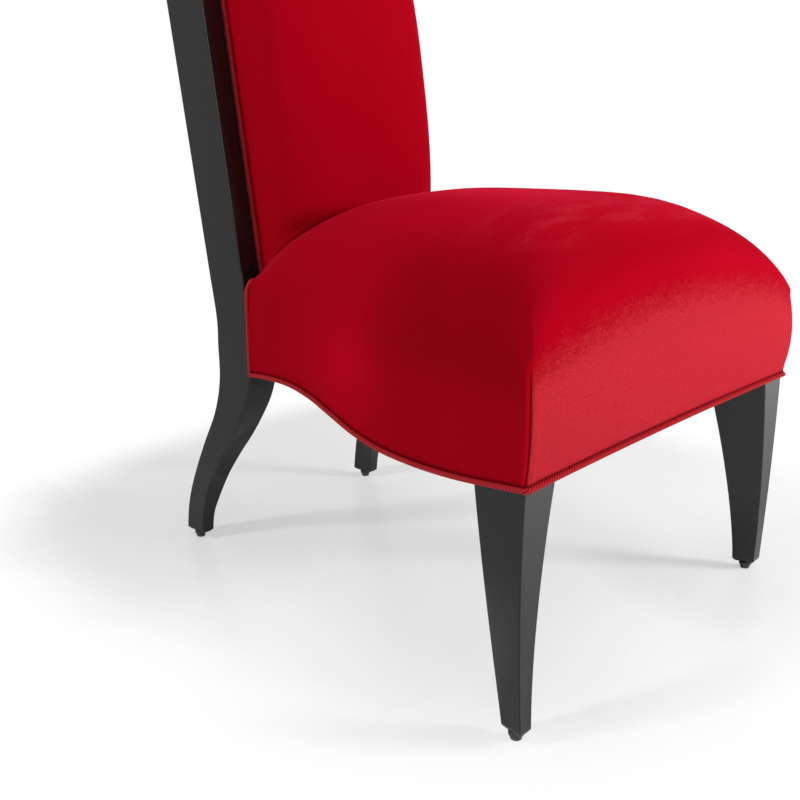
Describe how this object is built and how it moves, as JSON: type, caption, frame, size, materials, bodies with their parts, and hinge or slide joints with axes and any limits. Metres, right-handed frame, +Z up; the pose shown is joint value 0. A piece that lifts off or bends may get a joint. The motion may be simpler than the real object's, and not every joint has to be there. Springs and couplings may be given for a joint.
{
  "type": "slipper chair",
  "caption": "Armless upholstered slipper chair with a domed seat that widens to the front, a raked crowned back in a black lacquered frame, sabre rear legs and tapered front legs.",
  "frame": {"origin": "on the floor, under the middle of the chair's bounding box", "axes": "+Z up, -Y the way the sitter faces, -X the sitter's right"},
  "size_m": [0.5676, 0.6764, 0.961],
  "materials": {
    "lacquer": "black gloss lacquer",
    "hardwood": "sawn beech",
    "plywood": "birch plywood",
    "velvet": "red velvet",
    "piping": "red corded piping",
    "foam": "upholstery foam",
    "webbing": "jute webbing",
    "hessian": "hessian",
    "dustcloth": "black dust cloth",
    "steel": "zinc plated",
    "glide": "black nylon"
  },
  "bodies": {
    "root": {"right_back_post": "lacquer", "left_back_post": "lacquer", "crest_rail": "lacquer", "right_front_leg": "lacquer", "left_front_leg": "lacquer", "right_side_rail": "hardwood", "left_side_rail": "hardwood", "front_seat_rail": "hardwood", "rear_seat_rail": "hardwood", "lower_back_rail": "hardwood", "right_front_corner_block": "hardwood", "left_front_corner_block": "hardwood", "right_front_block_side_screw": "steel", "left_front_block_side_screw": "steel", "right_front_block_cross_screw": "steel", "left_front_block_cross_screw": "steel", "right_rear_corner_block": "hardwood", "left_rear_corner_block": "hardwood", "right_rear_block_side_screw": "steel", "left_rear_block_side_screw": "steel", "right_rear_block_cross_screw": "steel", "left_rear_block_cross_screw": "steel", "right_crest_dowel_1": "hardwood", "left_crest_dowel_1": "hardwood", "right_crest_dowel_2": "hardwood", "left_crest_dowel_2": "hardwood", "right_back_panel_screw_1": "steel", "left_back_panel_screw_1": "steel", "right_back_panel_screw_2": "steel", "left_back_panel_screw_2": "steel", "right_back_panel_screw_3": "steel", "left_back_panel_screw_3": "steel", "right_rear_glide": "glide", "left_rear_glide": "glide", "right_front_glide": "glide", "left_front_glide": "glide", "long_web_1": "webbing", "long_web_2": "webbing", "long_web_3": "webbing", "long_web_4": "webbing", "cross_web_1": "webbing", "cross_web_2": "webbing", "cross_web_3": "webbing", "cross_web_4": "webbing", "deck_cloth": "hessian", "seat_foam": "foam", "seat_cover": "velvet", "front_seat_piping": "piping", "right_seat_piping": "piping", "left_seat_piping": "piping", "right_shoulder_piping": "piping", "left_shoulder_piping": "piping", "dust_cover": "dustcloth", "back_panel": "plywood", "back_foam": "foam", "back_cover": "velvet", "back_piping": "piping", "outside_back_board": "plywood", "outside_back_cover": "velvet"}
  },
  "joints": []
}
